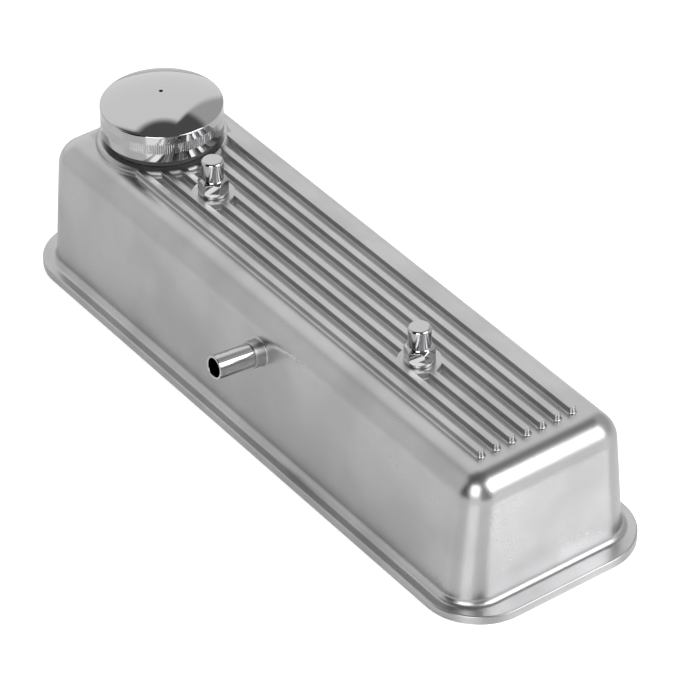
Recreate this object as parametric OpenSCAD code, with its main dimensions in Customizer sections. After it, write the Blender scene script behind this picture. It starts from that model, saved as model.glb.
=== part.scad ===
// Cast valve cover: a finned top with a filler cap, two cover nuts and a breather on the long side.
// X runs along the cover away from the filler, Y across it, Z up from the face that meets the engine.

/* [Cover casting] */
// Length over the flange
cover_length = 360; // [340:1:400]
// Width over the flange
cover_width = 111.5; // [106:0.5:124]
// Corner radius of the flange
flange_corner = 28.8; // [26:0.2:32]
// Thickness of the flange
flange_t = 4.3; // [3:0.1:6]
// Rounding of the flange's upper edge
flange_edge = 0.8; // [0.4:0.1:1.2]
// Height of the flat top above the flange's underside
cover_height = 70.6; // [66:0.2:84]
// How far the flange stands out past the long sides
side_overhang = 6.6; // [5.6:0.1:8]
// How far the flange stands out past the ends
end_overhang = 11; // [9:0.1:13]
// Draft of the long sides in degrees
side_draft = 5.9; // [4:0.1:6.5]
// Draft of the ends in degrees
end_draft = 0.5; // [0.2:0.1:1.5]
// Thickness of the cast walls
wall_t = 4; // [3:0.1:4.5]
// Radius of the upright corners at the flange
corner_r = 20; // [17:0.2:22]
// Radius of the fillet round the top
top_fillet = 13.8; // [11:0.2:14]
// Radius of the fillet between wall and flange
foot_fillet = 3.6; // [2:0.1:4.4]

/* [Fins] */
// Number of fins
fin_count = 7; // [5:2:7]
// Distance between the centrelines of neighbouring fins
fin_pitch = 8.48; // [7.6:0.02:8.8]
// Width of a fin at its top
fin_w = 3.4; // [2.8:0.1:4]
// Height of the fins, the pads and the filler boss above the flat top
fin_h = 3.3; // [2.4:0.1:4.2]
// Radius at the foot of a fin
fin_root = 1; // [0.5:0.1:1.2]
// Rounding of the fins' upper edges
fin_edge = 0.4; // [0.2:0.1:0.8]
// Distance from the plain end of the flange to the tips of the fins
fin_margin = 28.8; // [26:0.2:40]

/* [Filler] */
// Distance from the filler end of the flange to the filler's axis
filler_inset = 47.5; // [46:0.5:56]
// Radius of the filler boss
filler_boss_r = 32.2; // [31.4:0.1:33.4]
// Rounding of the boss's upper edge
filler_boss_edge = 2.2; // [0.8:0.1:2.6]
// Radius of the filler bore
filler_bore_r = 20.5; // [19.5:0.1:21.5]
// Wall between the filler bore and the outside of the collar below it
collar_wall = 6.5; // [5.5:0.1:7.5]
// How far the collar reaches down from the boss's top
collar_depth = 11; // [9:0.2:13]

/* [Filler cap] */
// Outer radius of the cap
cap_r = 29.7; // [29:0.1:30.6]
// Height of the cap's straight side
cap_side_h = 13.3; // [12:0.1:16]
// Rise of the dome above the side
cap_dome_h = 7.7; // [5:0.1:9]
// Rounding between side and dome
cap_edge_r = 1.2; // [0.9:0.1:2]
// Sheet thickness of the cap's shell
cap_sheet = 0.8; // [0.6:0.05:1]
// Radius of the vent hole in the dome
vent_r = 1; // [0.6:0.1:1.5]
// Number of grooves in the cap's knurled grip band
knurl_count = 180; // [120:4:200]
// Depth of those grooves
knurl_depth = 0.25; // [0.1:0.05:0.3]
// Height of the grip band
knurl_h = 5.5; // [4:0.5:6]
// Distance from the upper end of the cap's side down to the grip band
knurl_drop = 3.5; // [2:0.5:4]
// Thickness of the rubber seal under the cap
seal_t = 4.4; // [3.6:0.1:5]
// Thickness of the pressed pan inside the cap
pan_t = 1; // [0.8:0.1:1.2]
// Width of the two locking lugs
lug_w = 11; // [9:0.5:12]
// How far a lug reaches under the collar
lug_grip = 3.7; // [2.8:0.1:4]
// Turn from locked to free in degrees
cap_turn = 90; // [70:5:90]
// Radius of the rivet that holds the locking plate
rivet_r = 2.5; // [2:0.1:3]
// Radius of the holes in the filter plate
filter_hole_r = 1.8; // [1.4:0.1:2]

/* [Cover nuts] */
// Distance between the two cover studs
stud_spacing = 161.2; // [150:0.2:164]
// Shift of the studs' midpoint from the middle of the flange, away from the filler
stud_shift = 1.8; // [0:0.2:4]
// Offset of the studs from the centreline, towards the breather
stud_offset = 7.8; // [6.5:0.1:9]
// Radius of the round pad under each nut
pad_r = 10.5; // [9.8:0.1:11.5]
// Radius of the hole for the rubber bush
bush_r = 6.5; // [6.2:0.1:6.8]
// Radius of the plain hole for the stud
stud_hole_r = 4.1; // [4:0.05:4.3]
// Radius of the thread's core in the nut
thread_r = 3.6; // [3.4:0.05:3.8]
// Depth of the thread in the nut
thread_depth = 12; // [9:0.5:13]
// Width across the flats of the nut
nut_flats = 12.7; // [12.4:0.1:14]
// Height of the nut
nut_h = 17.1; // [15:0.1:20]
// Radius of the nut's round upper part
nut_neck_r = 5.35; // [5.1:0.05:5.7]
// Radius of the flat on top of the nut
nut_top_r = 4.5; // [4:0.1:4.8]
// Thickness of the washer under each nut
washer_t = 1.5; // [1:0.1:2]
// Radius of the washer under each nut
washer_r = 7.3; // [7.1:0.1:8.5]

/* [Breather] */
// Position of the breather along the cover
breather_x = 9; // [0:0.5:20]
// Drop from the flat top to the breather's axis where it leaves the long side
breather_drop = 20.8; // [20.2:0.2:25]
// Outer radius of the breather tube
tube_r = 5.8; // [5.2:0.1:6]
// Wall of the breather tube
tube_wall = 1.2; // [1:0.05:1.5]
// Rounding of the edges at the tube's open end
tube_edge = 0.4; // [0.2:0.05:0.5]
// How much thinner the tube is where it is pressed into the casting
tube_step = 0.4; // [0.2:0.05:0.6]
// Length of the breather from the long side to its open end
breather_reach = 25.4; // [22:0.2:32]
// Radius of the cast boss round the tube
breather_boss_r = 6.6; // [6.5:0.1:8]
// Length of that boss
breather_boss_h = 5.8; // [3:0.1:8]

/* [Splash baffle] */
// Length of the baffle plate
baffle_l = 60; // [56:1:70]
// Height of the baffle plate
baffle_h = 30; // [28:0.5:30]
// How far the baffle plate reaches above the breather's axis
baffle_rise = 12; // [11.5:0.5:13]
// Sheet thickness of the baffle plate
baffle_t = 1.2; // [1:0.1:1.5]
// Height of the cast posts that carry the baffle
post_h = 8; // [6.5:0.5:9]
// Radius of the baffle screws
screw_r = 2; // [1.8:0.1:2.2]

/* [Hidden] */

$fn = 64;
hull_fn = 40;
eps = 0.01;
// How far a cut runs past the face that it opens, and a raised shape into what carries it
past = 1;
// Clearance of a piece that sits in a hole, and of one that passes another
fit_gap = 0.05;
free_gap = 0.3;

half_l = cover_length / 2 - end_overhang;
half_w = cover_width / 2 - side_overhang;
fillet_z = cover_height - top_fillet;
// Centres of the balls that round the top's corners, tangent to the drafted walls
ball_x = half_l - (top_fillet + (fillet_z - flange_t) * sin(end_draft)) / cos(end_draft);
ball_y = half_w - (top_fillet + (fillet_z - flange_t) * sin(side_draft)) / cos(side_draft);
raised_z = cover_height + fin_h;
inner_top = cover_height - wall_t;
fin_tip_x = cover_length / 2 - fin_margin;

filler_x = -(cover_length / 2 - filler_inset);
collar_r = filler_bore_r + collar_wall;
collar_z = raised_z - collar_depth;
lug_r = filler_bore_r + lug_grip;
gate_gap = 1;
// The boss starts inside the fillet of the top, which falls away under it
boss_foot_z = fillet_z + 3;
boss_root = 0.1;

pan_z = raised_z + seal_t;
cap_lip_t = 0.4;
cap_lip_w = 1.2;
cap_bend_r = 0.2;
knurl_land = 0.06;
cap_low = pan_z - cap_lip_t;
cap_edge_z = cap_low + cap_side_h;
cap_apex = cap_edge_z + cap_dome_h;
cap_dome_r = (cap_r * cap_r + cap_dome_h * cap_dome_h) / (2 * cap_dome_h);
pan_r = cap_r - cap_sheet - fit_gap;
cup_r = filler_bore_r - 2.2;
pan_vent_r = 1.5;
pan_vent_ring = cup_r * 0.6;
lock_disc_r = cup_r * 0.55;
rivet_head_r = rivet_r * 1.8;
rivet_head_h = 1.2;
rivet_head_taper = 0.8;
lock_plate_t = 1.2;
cup_low = collar_z - free_gap;
lock_plate_z = cup_low - lock_plate_t;
filter_plate_t = 0.8;
filter_plate_z = pan_z + pan_t;
filter_plate_r = pan_r - 0.6;
filter_ring_pitch = 6.9;
gauze_r = pan_r - 1;
gauze_z = filter_plate_z + filter_plate_t;
gauze_h = cap_edge_z - cap_sheet - 1 - gauze_z;
seal_outer_r = pan_r - 1.4;
seal_inner_r = filler_bore_r + 1;

stud_x = [stud_shift - stud_spacing / 2, stud_shift + stud_spacing / 2];
stud_y = -stud_offset;
nut_turn = [51.8, 42.1];
pillar_r = pad_r - 1;
pillar_z = cover_height - 12.6;
bush_lip_r = pillar_r - 1;
bush_lip_t = 2;
sleeve_r = stud_hole_r + 0.95;
nut_z = raised_z + washer_t;
bush_low = pillar_z - bush_lip_t;
bush_h = raised_z - bush_low;
nut_corner_r = nut_flats / 2 / cos(30);
nut_side_h = 4.9;
nut_cone_h = (nut_corner_r - nut_neck_r) * tan(60);
nut_chamfer_h = 1.1;
nut_foot_chamfer = [0.5, 0.4];
nut_flare = 0.5;
nut_flare_h = 0.9;
nut_flare_end = 0.8;
washer_edge = 0.4;

breather_z = cover_height - breather_drop;
breather_gauze_r = tube_r + 4.2;
baffle_screw_x = baffle_l / 2 - 6;
baffle_corner = 4;
lip_inset = 12;
post_r = 4.4;
baffle_face = wall_t + post_h;
lip_h = post_h - 1.4;
lock_washer_t = 0.9;
screw_head_r = 3.6;
screw_head_h = 2.4;
screw_head_taper = 0.6;
screw_slot_w = 1;
screw_slot_d = 2;
screw_gap = 0.1;
screw_grip = 6;

// Half sizes of the walls' outer face at height z
function wall_x(z) = half_l - (z - flange_t) * tan(end_draft);
function wall_y(z) = half_w - (z - flange_t) * tan(side_draft);

module corners(x, y) {
    for (sx = [-1, 1], sy = [-1, 1])
        translate([sx * x, sy * y]) children();
}

// Sweeps an upright profile round a rounded rectangle; the profile's x is measured from the corner centres
module round_the_rim(cx, cy) {
    for (turn = [0 : 3])
        rotate([0, 0, turn * 90]) {
            along = turn % 2 == 0 ? cx : cy;
            across = turn % 2 == 0 ? cy : cx;
            translate([along, across, 0]) rotate_extrude(angle = 90) children();
            translate([along, across, 0]) rotate([90, 0, 0]) linear_extrude(2 * across) children();
        }
}

module rounded_outline(x, y, r) {
    square([2 * (x - r), 2 * y], center = true);
    square([2 * x, 2 * (y - r)], center = true);
    corners(x - r, y - r) circle(r);
}

// Half of a raised shape's section: an upright side with a filleted foot and a rounded top edge
module raised_section(r, h, root, edge) {
    translate([0, -past]) square([r, h + past - edge]);
    translate([0, -past]) square([r - edge, h + past]);
    translate([r - edge, h - edge]) circle(edge);
    difference() {
        translate([0, -past]) square([r + root, root + past]);
        translate([r + root, root]) circle(root);
    }
}

module wall_block(inset, z_low) {
    x = wall_x(z_low) - corner_r;
    y = wall_y(z_low) - corner_r;
    hull() {
        translate([0, 0, z_low]) corners(x, y) cylinder(r = corner_r - inset, h = eps, $fn = hull_fn);
        translate([0, 0, fillet_z]) corners(ball_x, ball_y) sphere(top_fillet - inset, $fn = hull_fn);
    }
}

module flange() {
    x = cover_length / 2;
    y = cover_width / 2;
    linear_extrude(flange_t - flange_edge) rounded_outline(x, y, flange_corner);
    linear_extrude(flange_t) rounded_outline(x - flange_edge, y - flange_edge, flange_corner - flange_edge);
    round_the_rim(x - flange_corner, y - flange_corner)
        translate([flange_corner - flange_edge, flange_t - flange_edge]) circle(flange_edge, $fn = 24);
}

module foot_fillets() {
    round_the_rim(half_l - corner_r, half_w - corner_r)
        difference() {
            translate([corner_r - past, flange_t - past]) square([foot_fillet + past, foot_fillet + past]);
            translate([corner_r + foot_fillet, flange_t + foot_fillet]) circle(foot_fillet);
        }
}

module fin(y) {
    boss_reach = sqrt(pow(filler_boss_r, 2) - pow(y, 2));
    start = filler_x + boss_reach - 2 * past;
    nose_x = fin_tip_x - fin_w / 2;
    translate([0, y, cover_height]) {
        translate([start, 0, 0]) rotate([90, 0, 90])
            linear_extrude(nose_x - start) {
                raised_section(fin_w / 2, fin_h, fin_root, fin_edge);
                mirror([1, 0]) raised_section(fin_w / 2, fin_h, fin_root, fin_edge);
            }
        translate([nose_x, 0, 0]) rotate_extrude() raised_section(fin_w / 2, fin_h, fin_root, fin_edge);
    }
}

module at_stud(i) {
    translate([stud_x[i], stud_y, 0]) children();
}

module at_filler() {
    translate([filler_x, 0, 0]) children();
}

// Local frame of the breather: origin on the long side's outer face, +Z out along the tube, +Y up the wall
module at_breather() {
    translate([breather_x, -wall_y(breather_z), breather_z]) rotate([90 - side_draft, 0, 0]) children();
}

module at_baffle_screws() {
    at_breather() for (side = [-1, 1]) translate([side * baffle_screw_x, 0, 0]) children();
}

module cover_casting() {
    color("lightgray") difference() {
        union() {
            difference() {
                union() {
                    wall_block(0, 0);
                    flange();
                    foot_fillets();
                    for (i = [0 : fin_count - 1]) fin((i - (fin_count - 1) / 2) * fin_pitch);
                    for (i = [0, 1]) at_stud(i) translate([0, 0, cover_height])
                        rotate_extrude() raised_section(pad_r, fin_h, fin_root, fin_edge);
                    at_filler() translate([0, 0, boss_foot_z]) rotate_extrude()
                        raised_section(filler_boss_r, raised_z - boss_foot_z, boss_root, filler_boss_edge);
                    at_breather() translate([0, 0, -past]) cylinder(r = breather_boss_r, h = breather_boss_h + past);
                }
                wall_block(wall_t, -past);
            }
            at_filler() translate([0, 0, collar_z]) cylinder(r = collar_r, h = inner_top + past - collar_z);
            for (i = [0, 1]) at_stud(i) translate([0, 0, pillar_z])
                cylinder(r1 = pillar_r, r2 = pad_r, h = inner_top + past - pillar_z);
            at_baffle_screws() translate([0, 0, -baffle_face]) cylinder(r = post_r, h = post_h + past);
        }
        at_filler() {
            translate([0, 0, collar_z - past]) cylinder(r = filler_bore_r, h = collar_depth + 2 * past);
            // Gates that let the locking lugs in
            translate([0, 0, (collar_z + raised_z) / 2])
                cube([2 * (lug_r + free_gap), lug_w + 2 * gate_gap, collar_depth + 2 * past], center = true);
        }
        for (i = [0, 1]) at_stud(i) translate([0, 0, pillar_z - past]) cylinder(r = bush_r, h = raised_z);
        at_breather() translate([0, 0, -wall_t - past])
            cylinder(r = tube_r - tube_step + fit_gap, h = wall_t + breather_boss_h + 2 * past);
        at_baffle_screws() translate([0, 0, -baffle_face - past])
            cylinder(r = screw_r + fit_gap, h = screw_grip + 2 * past);
    }
}

// Outline of a domed cap on one side of its axis, from z_low up to its apex
module dome_outline(r, z_low, apex, dome_r, edge) {
    dome_z = apex - dome_r;
    edge_x = r - edge;
    edge_z = dome_z + sqrt(pow(dome_r - edge, 2) - pow(edge_x, 2));
    reach = dome_r / (dome_r - edge);
    translate([0, z_low]) square([edge_x, edge_z - z_low]);
    translate([0, z_low]) square([r, edge_z - z_low]);
    intersection() {
        translate([edge_x, edge_z]) circle(edge);
        translate([0, z_low]) square([r, apex - z_low]);
    }
    intersection() {
        translate([0, dome_z]) circle(dome_r, $fn = 128);
        polygon([[0, z_low], [edge_x, z_low], [edge_x, edge_z],
            [edge_x * reach, dome_z + (edge_z - dome_z) * reach], [0, apex + past]]);
    }
}

// Outline of a straight knurl: teeth whose tips stand past the radius r, so that a narrow land stays between
// each two grooves
module knurl_outline(r) {
    half_pitch = 180 / knurl_count;
    polygon([for (i = [0 : 2 * knurl_count - 1])
        (i % 2 == 0 ? r + knurl_land : r - knurl_depth) * [cos(i * half_pitch), sin(i * half_pitch)]]);
}

module filler_cap_shell() {
    color("silver") at_filler() difference() {
        rotate_extrude() {
            difference() {
                dome_outline(cap_r, cap_low, cap_apex, cap_dome_r, cap_edge_r);
                dome_outline(cap_r - cap_sheet, cap_low - past, cap_apex - cap_sheet,
                    cap_dome_r - cap_sheet, cap_edge_r - cap_sheet + cap_bend_r);
            }
            // Lip turned in under the pan
            translate([cap_r - cap_sheet - cap_lip_w, cap_low]) square([cap_lip_w + cap_sheet / 2, cap_lip_t]);
        }
        translate([0, 0, cap_apex - cap_sheet - past]) cylinder(r = vent_r, h = cap_sheet + 2 * past);
        translate([0, 0, cap_edge_z - knurl_drop - knurl_h]) linear_extrude(knurl_h) difference() {
            circle(cap_r + past);
            knurl_outline(cap_r);
        }
    }
}

module filler_cap_pan() {
    color("gainsboro") at_filler() difference() {
        rotate_extrude() difference() {
            union() {
                translate([0, cup_low]) square([cup_r, pan_z + pan_t - cup_low]);
                translate([0, pan_z]) square([pan_r, pan_t]);
            }
            translate([-past, cup_low + pan_t]) square([cup_r - pan_t + past, pan_z]);
        }
        translate([0, 0, cup_low - past]) {
            cylinder(r = rivet_r + fit_gap, h = pan_t + 2 * past);
            for (turn = [45 : 90 : 315]) rotate([0, 0, turn])
                translate([pan_vent_ring, 0, 0]) cylinder(r = pan_vent_r, h = pan_t + 2 * past);
        }
    }
}

module filler_cap_filter_plate() {
    color("silver") at_filler() translate([0, 0, filter_plate_z]) difference() {
        cylinder(r = filter_plate_r, h = filter_plate_t);
        for (ring = [1, 2], hole = [1 : 6 * ring]) rotate([0, 0, hole * 60 / ring])
            translate([ring * filter_ring_pitch, 0, -past])
                cylinder(r = filter_hole_r, h = filter_plate_t + 2 * past);
    }
}

module filler_cap_gauze() {
    color("dimgray") at_filler() translate([0, 0, gauze_z]) cylinder(r = gauze_r, h = gauze_h);
}

module filler_cap_locking_plate() {
    color("silver") at_filler() rotate([0, 0, -cap_turn]) translate([0, 0, lock_plate_z]) difference() {
        union() {
            intersection() {
                translate([-lug_r, -lug_w / 2, 0]) cube([2 * lug_r, lug_w, lock_plate_t]);
                cylinder(r = lug_r, h = lock_plate_t);
            }
            cylinder(r = lock_disc_r, h = lock_plate_t);
        }
        translate([0, 0, -past]) cylinder(r = rivet_r + fit_gap, h = lock_plate_t + 2 * past);
    }
}

module rivet_head() {
    cylinder(r1 = rivet_head_r * rivet_head_taper, r2 = rivet_head_r, h = rivet_head_h);
}

module filler_cap_rivet() {
    grip = lock_plate_t + pan_t;
    color("gray") at_filler() translate([0, 0, lock_plate_z]) {
        translate([0, 0, -rivet_head_h]) rivet_head();
        translate([0, 0, -eps]) cylinder(r = rivet_r, h = grip + 2 * eps);
        translate([0, 0, grip + rivet_head_h]) mirror([0, 0, 1]) rivet_head();
    }
}

module filler_cap_seal() {
    color("#202020") at_filler() translate([0, 0, raised_z]) difference() {
        cylinder(r = seal_outer_r, h = seal_t);
        translate([0, 0, -past]) cylinder(r = seal_inner_r, h = seal_t + 2 * past);
    }
}

module cover_nut(i) {
    cone_z = nut_side_h + nut_cone_h;
    color("silver") at_stud(i) translate([0, 0, nut_z]) rotate([0, 0, nut_turn[i]]) difference() {
        intersection() {
            cylinder(r = nut_corner_r, h = nut_h, $fn = 6);
            rotate_extrude() polygon([[0, 0], [nut_corner_r - nut_foot_chamfer.x, 0],
                [nut_corner_r, nut_foot_chamfer.y], [nut_corner_r, nut_side_h],
                [nut_neck_r + nut_flare, cone_z - nut_flare_h], [nut_neck_r, cone_z + nut_flare_end],
                [nut_neck_r, nut_h - nut_chamfer_h], [nut_top_r, nut_h], [0, nut_h]]);
        }
        translate([0, 0, -past]) cylinder(r = thread_r, h = thread_depth + past);
    }
}

module nut_washer(i) {
    color("silver") at_stud(i) translate([0, 0, raised_z]) difference() {
        union() {
            cylinder(r = washer_r, h = washer_t - washer_edge);
            cylinder(r = washer_r - washer_edge, h = washer_t);
        }
        translate([0, 0, -past]) cylinder(r = stud_hole_r, h = washer_t + 2 * past);
    }
}

module stud_bush(i) {
    color("#202020") at_stud(i) difference() {
        union() {
            translate([0, 0, pillar_z]) cylinder(r = bush_r - fit_gap, h = raised_z - pillar_z);
            translate([0, 0, bush_low]) cylinder(r = bush_lip_r, h = bush_lip_t);
        }
        translate([0, 0, bush_low - past]) cylinder(r = sleeve_r + fit_gap, h = bush_h + 2 * past);
    }
}

module stud_sleeve(i) {
    color("silver") at_stud(i) translate([0, 0, bush_low]) difference() {
        cylinder(r = sleeve_r, h = bush_h);
        translate([0, 0, -past]) cylinder(r = stud_hole_r, h = bush_h + 2 * past);
    }
}

module breather_tube() {
    bore_r = tube_r - tube_wall;
    shank_l = wall_t + breather_boss_h;
    tube_l = wall_t + breather_reach;
    color("silver") at_breather() translate([0, 0, -wall_t]) rotate_extrude() {
        translate([bore_r, 0]) square([tube_wall - tube_step, shank_l + past]);
        translate([bore_r, shank_l]) square([tube_wall, tube_l - tube_edge - shank_l]);
        translate([bore_r + tube_edge, shank_l]) square([tube_wall - 2 * tube_edge, tube_l - shank_l]);
        for (x = [bore_r + tube_edge, tube_r - tube_edge])
            translate([x, tube_l - tube_edge]) circle(tube_edge, $fn = 24);
    }
}

module breather_gauze() {
    color("dimgray") at_breather() translate([0, 0, -baffle_face])
        cylinder(r = breather_gauze_r, h = post_h - free_gap);
}

module baffle_plate() {
    color("gainsboro") at_breather() translate([0, 0, -baffle_face - baffle_t]) difference() {
        translate([0, baffle_rise - baffle_h / 2, 0]) {
            linear_extrude(baffle_t) rounded_outline(baffle_l / 2, baffle_h / 2, baffle_corner);
            for (side = [-1, 1])
                translate([0, side * (baffle_h - baffle_t) / 2, lip_h / 2])
                    cube([baffle_l - 2 * lip_inset, baffle_t, lip_h], center = true);
        }
        for (side = [-1, 1]) translate([side * baffle_screw_x, 0, -past])
            cylinder(r = screw_r + screw_gap, h = baffle_t + 2 * past);
    }
}

module baffle_screws() {
    color("silver") at_baffle_screws()
        translate([0, 0, -baffle_face - baffle_t - lock_washer_t]) {
            cylinder(r = screw_r, h = lock_washer_t + baffle_t + screw_grip);
            translate([0, 0, -screw_head_h]) difference() {
                cylinder(r1 = screw_head_r - screw_head_taper, r2 = screw_head_r, h = screw_head_h);
                cube([3 * screw_head_r, screw_slot_w, screw_slot_d], center = true);
            }
        }
}

module baffle_lock_washers() {
    color("gray") at_baffle_screws() translate([0, 0, -baffle_face - baffle_t - lock_washer_t]) difference() {
        cylinder(r = screw_head_r, h = lock_washer_t);
        translate([0, 0, -past]) cylinder(r = screw_r + screw_gap, h = lock_washer_t + 2 * past);
    }
}

cover_casting();
filler_cap_shell();
filler_cap_pan();
filler_cap_filter_plate();
filler_cap_gauze();
filler_cap_locking_plate();
filler_cap_rivet();
filler_cap_seal();
cover_nut(0);  // front_cover_nut
cover_nut(1);  // rear_cover_nut
nut_washer(0);  // front_nut_washer
nut_washer(1);  // rear_nut_washer
stud_bush(0);  // front_stud_bush
stud_bush(1);  // rear_stud_bush
stud_sleeve(0);  // front_stud_sleeve
stud_sleeve(1);  // rear_stud_sleeve
breather_tube();
breather_gauze();
baffle_plate();
baffle_screws();
baffle_lock_washers();
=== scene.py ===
"""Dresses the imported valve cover: its finishes, the fine forms of its pieces, and a plain studio round it."""

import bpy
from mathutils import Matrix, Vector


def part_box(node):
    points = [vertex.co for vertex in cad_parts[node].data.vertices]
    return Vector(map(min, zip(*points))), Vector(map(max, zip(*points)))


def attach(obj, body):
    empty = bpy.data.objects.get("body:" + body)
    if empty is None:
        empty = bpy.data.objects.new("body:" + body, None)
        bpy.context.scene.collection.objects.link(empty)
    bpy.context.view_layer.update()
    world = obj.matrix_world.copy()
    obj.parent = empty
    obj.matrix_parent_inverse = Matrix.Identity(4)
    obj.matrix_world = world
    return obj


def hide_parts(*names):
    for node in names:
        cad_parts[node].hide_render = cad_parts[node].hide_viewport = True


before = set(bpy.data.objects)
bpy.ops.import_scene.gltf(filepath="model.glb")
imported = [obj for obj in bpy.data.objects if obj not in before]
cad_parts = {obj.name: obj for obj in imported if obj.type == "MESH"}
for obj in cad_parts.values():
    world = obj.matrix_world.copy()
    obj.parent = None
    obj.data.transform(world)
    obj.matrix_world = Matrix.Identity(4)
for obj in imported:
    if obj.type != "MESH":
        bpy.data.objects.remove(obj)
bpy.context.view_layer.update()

import math
from types import SimpleNamespace
from typing import NamedTuple

import bmesh
import bpy
import numpy as np
from bpy.props import FloatProperty, FloatVectorProperty, IntProperty, PointerProperty
from mathutils import Matrix, Vector

bl_info = {
    "name": "Valve cover",
    "version": (1, 0, 0),
    "blender": (4, 5, 0),
    "location": "3D View > Sidebar > Valve cover",
    "description": "Builds the pieces, finishes and studio of a finned valve cover",
    "category": "Mesh",
}

MM = 0.001
# Points closer than this are one point
MERGE = 1e-7
# How far a cutting or joining shape runs past the face that it meets
PAST = 1 * MM
# Radial room between a bored hole and the piece in it
FIT = 0.05 * MM
# Root radius of a foot that is hidden inside the metal
HIDDEN_ROOT = 0.1 * MM
UP = np.array([0.0, 0.0, 1.0])


def length(name, description, millimetres):
    """A length property whose default is given in millimetres."""
    return FloatProperty(name=name, description=description, default=millimetres * MM,
                         unit="LENGTH", precision=5)


def angle(name, description, degrees):
    """An angle property whose default is given in degrees."""
    return FloatProperty(name=name, description=description, default=math.radians(degrees), unit="ROTATION")


def factor(name, description, default):
    """A plain number between 0 and 1."""
    return FloatProperty(name=name, description=description, default=default, min=0, max=1, subtype="FACTOR")


def strength(name, description, default):
    """A plain positive number."""
    return FloatProperty(name=name, description=description, default=default, min=0)


def count(name, description, default):
    """A whole number of repeats or steps."""
    return IntProperty(name=name, description=description, default=default, min=1)


def colour(name, description, default):
    """A colour property."""
    return FloatVectorProperty(name=name, description=description, default=default, subtype="COLOR", size=3)


class CastingSizes(bpy.types.PropertyGroup):
    """Sizes of the cast cover that the frame's boxes don't give."""

    flange_corner: length("Flange corner", "Radius of the flange's corners", 28.8)
    flange_thickness: length("Flange thickness", "Thickness of the flange", 4.3)
    flange_edge: length("Flange edge", "Rounding of the flange's upper edge", 0.8)
    side_overhang: length("Side overhang", "How far the flange stands out past the long sides", 6.6)
    end_overhang: length("End overhang", "How far the flange stands out past the ends", 11)
    side_draft: angle("Side draft", "Draft of the long sides", 5.9)
    end_draft: angle("End draft", "Draft of the ends", 0.5)
    wall: length("Wall", "Thickness of the cast walls", 4)
    corner_radius: length("Corner radius", "Radius of the upright corners at the flange", 17)
    top_fillet: length("Top fillet", "Radius of the fillet round the top", 13.8)
    foot_fillet: length("Foot fillet", "Radius of the fillet between wall and flange", 3.6)
    fin_count: count("Fins", "Number of fins", 7)
    fin_pitch: length("Fin pitch", "Distance between neighbouring fins", 8.48)
    fin_width: length("Fin width", "Width of a fin at its top", 3.4)
    fin_height: length("Fin height", "Height of the fins, pads and filler boss above the flat top", 3.3)
    fin_root: length("Fin root", "Radius at the foot of a fin", 1)
    fin_edge: length("Fin edge", "Rounding of the fins' upper edges", 0.4)
    fin_margin: length("Fin margin", "Distance from the flange's plain end to the tips of the fins", 28.8)
    boss_radius: length("Boss radius", "Radius of the filler boss", 32.2)
    boss_edge: length("Boss edge", "Rounding of the boss's upper edge", 2.2)
    boss_depth: length("Boss depth", "How far the boss's side reaches down from the flat top", 10.8)
    boss_root: length("Boss root", "Radius of the fillet round the foot of the filler boss", 1.5)
    bore_radius: length("Filler bore", "Radius of the filler bore", 20.5)
    collar_wall: length("Collar wall", "Wall of the collar below the filler bore", 6.5)
    collar_depth: length("Collar depth", "How far the collar reaches down from the boss's top", 11)
    lug_grip: length("Lug grip", "How far a locking lug reaches under the collar", 3.7)
    lug_width: length("Lug width", "Width of the locking lugs", 11)
    gate_end: length("Gate end", "Room between a lug's end and the gate that it passes", 0.3)
    gate_side: length("Gate side", "Room between a lug's sides and that gate", 1)
    pad_radius: length("Pad radius", "Radius of the round pad under each nut", 10.5)
    bush_radius: length("Bush hole", "Radius of the hole for a stud's rubber bush", 6.5)
    pillar_drop: length("Pillar drop", "How far the stud pillars reach below the flat top", 12.6)
    pillar_taper: length("Pillar taper", "How much thinner the pillars are at their lower end", 1)
    outlet_radius: length("Breather boss", "Radius of the cast boss round the breather tube", 6.6)
    outlet_height: length("Breather boss height", "Length of the cast boss round the breather tube", 5.8)
    outlet_edge: length("Breather boss edge", "Rounding of that boss's outer edge", 0.3)
    outlet_root: length("Breather boss root", "Radius of the fillet at the foot of that boss", 0.7)
    post_radius: length("Post radius", "Radius of the posts that carry the baffle", 4.4)
    post_height: length("Post height", "Height of the posts that carry the baffle", 8)
    screw_radius: length("Screw radius", "Radius of the baffle's screws", 2)
    screw_head: length("Screw head", "Radius of the heads of those screws", 3.6)
    screw_grip: length("Screw grip", "How deep the baffle's screws reach into their posts", 6)


class CapSizes(bpy.types.PropertyGroup):
    """Sizes of the filler cap that the frame's boxes don't give."""

    side_height: length("Side height", "Height of the cap's straight side", 14.4)
    edge_radius: length("Edge radius", "Rounding between side and dome", 0.9)
    inner_edge: length("Inner edge", "Rounding between side and dome inside the shell", 0.3)
    sheet: length("Sheet", "Sheet thickness of the shell", 0.8)
    lip_width: length("Lip width", "Width of the lip turned in under the pan", 1.2)
    lip_thickness: length("Lip thickness", "Thickness of that lip", 0.4)
    lip_bend: length("Lip bend", "Rounding between the side and that lip", 0.35)
    vent_radius: length("Vent radius", "Radius of the vent hole in the dome", 1)
    knurl_count: count("Knurl ridges", "Number of ridges of the knurl", 180)
    knurl_samples: count("Knurl samples", "Points across one ridge and its groove", 6)
    knurl_depth: length("Knurl depth", "Depth of the grooves", 0.16)
    knurl_top: length("Knurl top", "Distance from the side's upper end to the knurl", 4.2)
    knurl_height: length("Knurl height", "Height of the knurled band", 5.5)
    knurl_fade: length("Knurl fade", "Height over which the knurl fades out at each end", 0.35)
    seal_room: length("Seal room", "Room between the seal's hole and the filler bore", 1)
    seal_edge: length("Seal edge", "Rounding of the rubber seal's edges", 0.7)


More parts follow.
